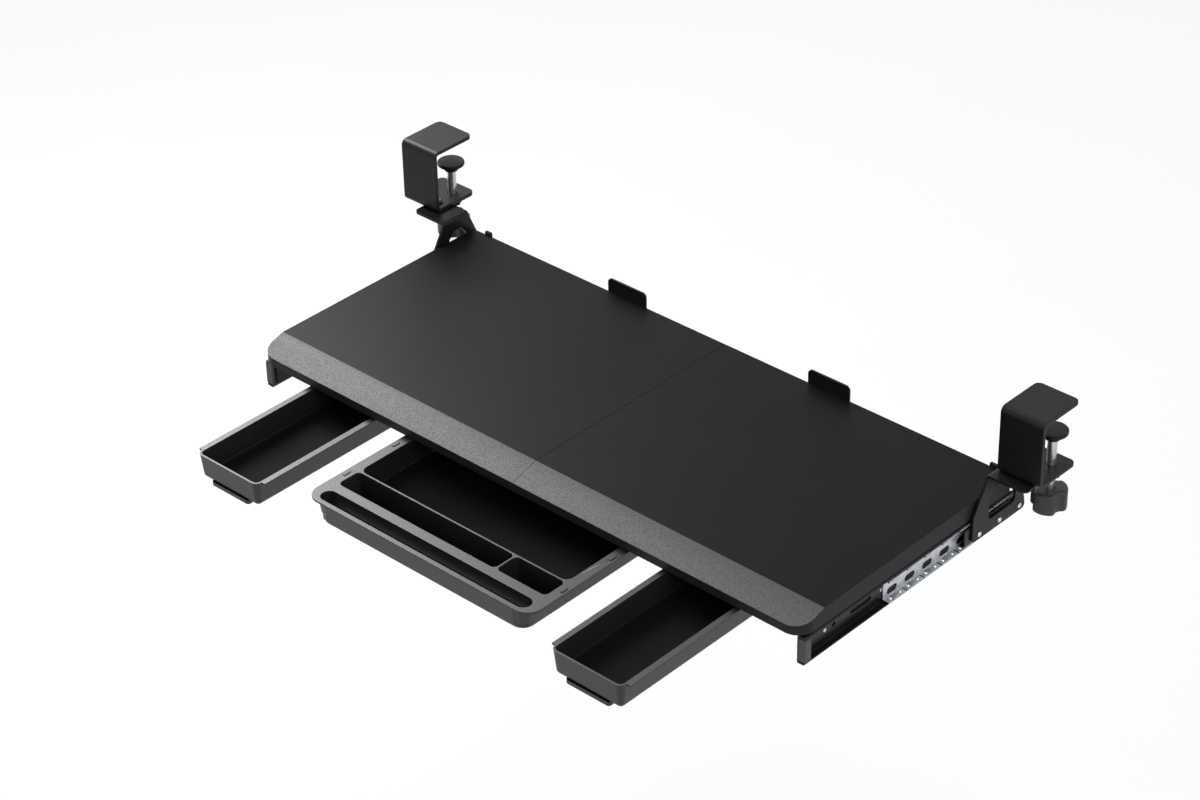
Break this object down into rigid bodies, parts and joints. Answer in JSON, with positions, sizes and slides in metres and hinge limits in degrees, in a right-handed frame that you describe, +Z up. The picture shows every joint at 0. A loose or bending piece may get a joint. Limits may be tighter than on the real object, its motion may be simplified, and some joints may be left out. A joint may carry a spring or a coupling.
{
  "type": "under-desk keyboard tray",
  "caption": "Pull-out keyboard tray in two joined halves that hangs from desk clamps on ball slides, with small moulded drawers that slide out under it.",
  "frame": {"origin": "the desk's top front edge, midway between the clamps", "axes": "X right, Y under the desk, Z up; the tray pulls out along -Y"},
  "size_m": [0.802, 0.468, 0.1405],
  "materials": {
    "black_steel": "black powder coat",
    "board_laminate": "black laminate, fine pebble",
    "drawer_plastic": "black moulded, fine grain",
    "knob_plastic": "black moulded",
    "zinc_steel": "bright zinc plate",
    "dark_steel": "black slide finish",
    "fastener_steel": "zinc plated",
    "black_fastener": "black oxide",
    "ball_steel": "polished",
    "bumper_plastic": "black moulded",
    "black_rubber": "soft black rubber",
    "beech": "plain beech"
  },
  "bodies": {
    "desk_frame": {"clamp_left": "black_steel", "clamp_right": "black_steel", "clamp_bolts": "black_fastener", "clamp_nuts": "fastener_steel", "weld_nuts": "black_steel", "bracket_left": "black_steel", "bracket_right": "black_steel", "fixed_slide_left": "dark_steel", "fixed_slide_right": "dark_steel", "slide_rivets_left": "fastener_steel", "slide_rivets_right": "fastener_steel"},
    "tray": {"board_left": "board_laminate", "board_right": "board_laminate", "dowels": "beech", "joining_plates": "black_steel", "joining_screws": "black_fastener", "stop_plate_left": "black_steel", "stop_plate_right": "black_steel", "stop_screws_left": "black_fastener", "stop_screws_right": "black_fastener", "buffer_left": "black_rubber", "buffer_right": "black_rubber", "rail_angle_left": "black_steel", "rail_angle_right": "black_steel", "angle_rivets_left": "fastener_steel", "angle_rivets_right": "fastener_steel", "angle_screws_left": "black_fastener", "angle_screws_right": "black_fastener", "tray_slide_left": "dark_steel", "tray_slide_right": "dark_steel", "end_cap_left": "bumper_plastic", "end_cap_right": "bumper_plastic", "outer_rail_left": "black_steel", "outer_rail_right": "black_steel", "inner_rail_left": "black_steel", "inner_rail_right": "black_steel", "centre_rail_left": "black_steel", "centre_rail_right": "black_steel", "rail_screws_left": "black_fastener", "rail_screws_right": "black_fastener"},
    "cage_left": {"ball_cage_left": "zinc_steel", "balls_left": "ball_steel"},
    "clamp_foot_left": {"pad_left": "black_steel"},
    "screw_left": {"clamp_screw_left": "fastener_steel", "knob_left": "knob_plastic"},
    "cage_right": {"ball_cage_right": "zinc_steel", "balls_right": "ball_steel"},
    "clamp_foot_right": {"pad_right": "black_steel"},
    "screw_right": {"clamp_screw_right": "fastener_steel", "knob_right": "knob_plastic"},
    "drawer_left": {"drawer_left": "drawer_plastic"},
    "drawer_centre": {"drawer_centre": "drawer_plastic"},
    "drawer_right": {"drawer_right": "drawer_plastic"}
  },
  "joints": [
    {"name": "tray_slide", "type": "slide", "parent": "desk_frame", "child": "tray", "axis": [0, 1, 0], "range_m": [0, 0.2135]},
    {"name": "cage_left_roll", "type": "slide", "parent": "desk_frame", "child": "cage_left", "axis": [0, 1, 0], "range_m": [0, 0.10725]},
    {"name": "foot_left_lift", "type": "slide", "parent": "desk_frame", "child": "clamp_foot_left", "axis": [0, 0, 1], "range_m": [-0.0261, 0.0131]},
    {"name": "screw_left_turn", "type": "hinge", "parent": "clamp_foot_left", "child": "screw_left", "pos_m": [-0.377, 0.034, -0.06], "axis": [0, 0, 1], "range_deg": [-6270, 3150]},
    {"name": "cage_right_roll", "type": "slide", "parent": "desk_frame", "child": "cage_right", "axis": [0, 1, 0], "range_m": [0, 0.10725]},
    {"name": "foot_right_lift", "type": "slide", "parent": "desk_frame", "child": "clamp_foot_right", "axis": [0, 0, 1], "range_m": [-0.0261, 0.0131]},
    {"name": "screw_right_turn", "type": "hinge", "parent": "clamp_foot_right", "child": "screw_right", "pos_m": [0.377, 0.034, -0.06], "axis": [0, 0, 1], "range_deg": [-6270, 3150]},
    {"name": "drawer_left_slide", "type": "slide", "parent": "tray", "child": "drawer_left", "axis": [0, 1, 0], "range_m": [0, 0.145]},
    {"name": "drawer_centre_slide", "type": "slide", "parent": "tray", "child": "drawer_centre", "axis": [0, 1, 0], "range_m": [0, 0.125]},
    {"name": "drawer_right_slide", "type": "slide", "parent": "tray", "child": "drawer_right", "axis": [0, 1, 0], "range_m": [0, 0.145]}
  ],
  "couplings": [
    {"joint": "cage_left_roll", "follows": "tray_slide", "ratio": 0.5},
    {"joint": "screw_left_turn", "follows": "foot_left_lift", "rad_per_m": 4188.8},
    {"joint": "cage_right_roll", "follows": "tray_slide", "ratio": 0.5},
    {"joint": "screw_right_turn", "follows": "foot_right_lift", "rad_per_m": 4188.8}
  ]
}
